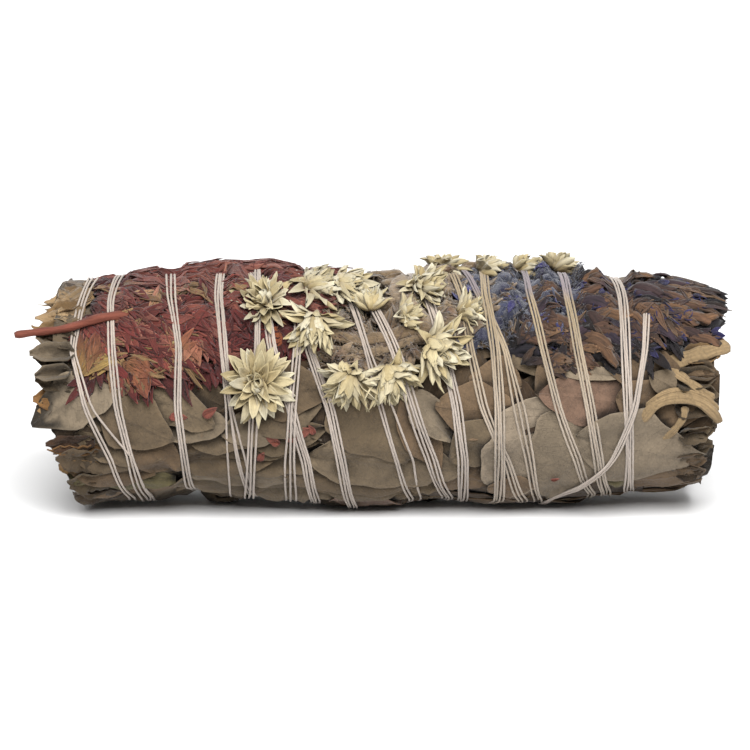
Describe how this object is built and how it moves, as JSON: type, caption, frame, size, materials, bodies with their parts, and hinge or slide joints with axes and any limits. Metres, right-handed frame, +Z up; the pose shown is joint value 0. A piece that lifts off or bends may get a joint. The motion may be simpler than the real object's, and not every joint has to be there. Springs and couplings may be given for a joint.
{
  "type": "sage smudge stick",
  "caption": "Bundle of dried leafy sage sprigs dressed along the top with red, cream and blue dried flowers and wound with cotton thread.",
  "frame": {"origin": "on the table under the middle of the whole bundle", "axes": "+X along the bundle to the end with the blue flowers, -Y the dressed front, +Z up from the table"},
  "size_m": [0.1066, 0.039, 0.0395],
  "materials": {
    "sage_leaf": "matte, felted dry leaf",
    "sage_stem": "raw woody stem, cut ends paler",
    "red_flower": "matte, dry papery bracts",
    "red_stem": "matte, dry ribbed stem",
    "cream_flower": "papery with a faint sheen",
    "fuzzy_stalk": "felted",
    "blue_flower": "felted",
    "purple_flower": "matte, dry papery husks",
    "cotton_thread": "twisted cotton, slight sheen"
  },
  "bodies": {
    "root": {"binding_thread": "cotton_thread", "blue_flower_spike_left": "blue_flower", "blue_flower_spike_right": "purple_flower", "cream_flower_head_01": "cream_flower", "cream_flower_head_02": "cream_flower", "cream_flower_head_03": "cream_flower", "cream_flower_head_04": "cream_flower", "cream_flower_head_05": "cream_flower", "cream_flower_head_06": "cream_flower", "cream_flower_head_07": "cream_flower", "cream_flower_head_08": "cream_flower", "cream_flower_head_09": "cream_flower", "cream_flower_head_10": "cream_flower", "cream_flower_head_11": "cream_flower", "cream_flower_head_12": "cream_flower", "cream_flower_head_13": "cream_flower", "cream_flower_head_14": "cream_flower", "cream_flower_head_15": "cream_flower", "cream_flower_head_16": "cream_flower", "cream_flower_stalk": "fuzzy_stalk", "red_flower_spike_lower": "red_flower", "red_flower_spike_upper": "red_flower", "red_flower_stem": "red_stem", "sage_sprig_1": "sage_leaf", "sage_sprig_2": "sage_leaf", "sage_sprig_3": "sage_leaf", "sage_sprig_4": "sage_leaf", "sage_sprig_5": "sage_leaf", "sage_sprig_6": "sage_leaf", "sage_stem_1": "sage_stem", "sage_stem_2": "sage_stem", "sage_stem_3": "sage_stem", "sage_stem_4": "sage_stem", "sage_stem_5": "sage_stem", "sage_stem_6": "sage_stem"}
  },
  "joints": []
}
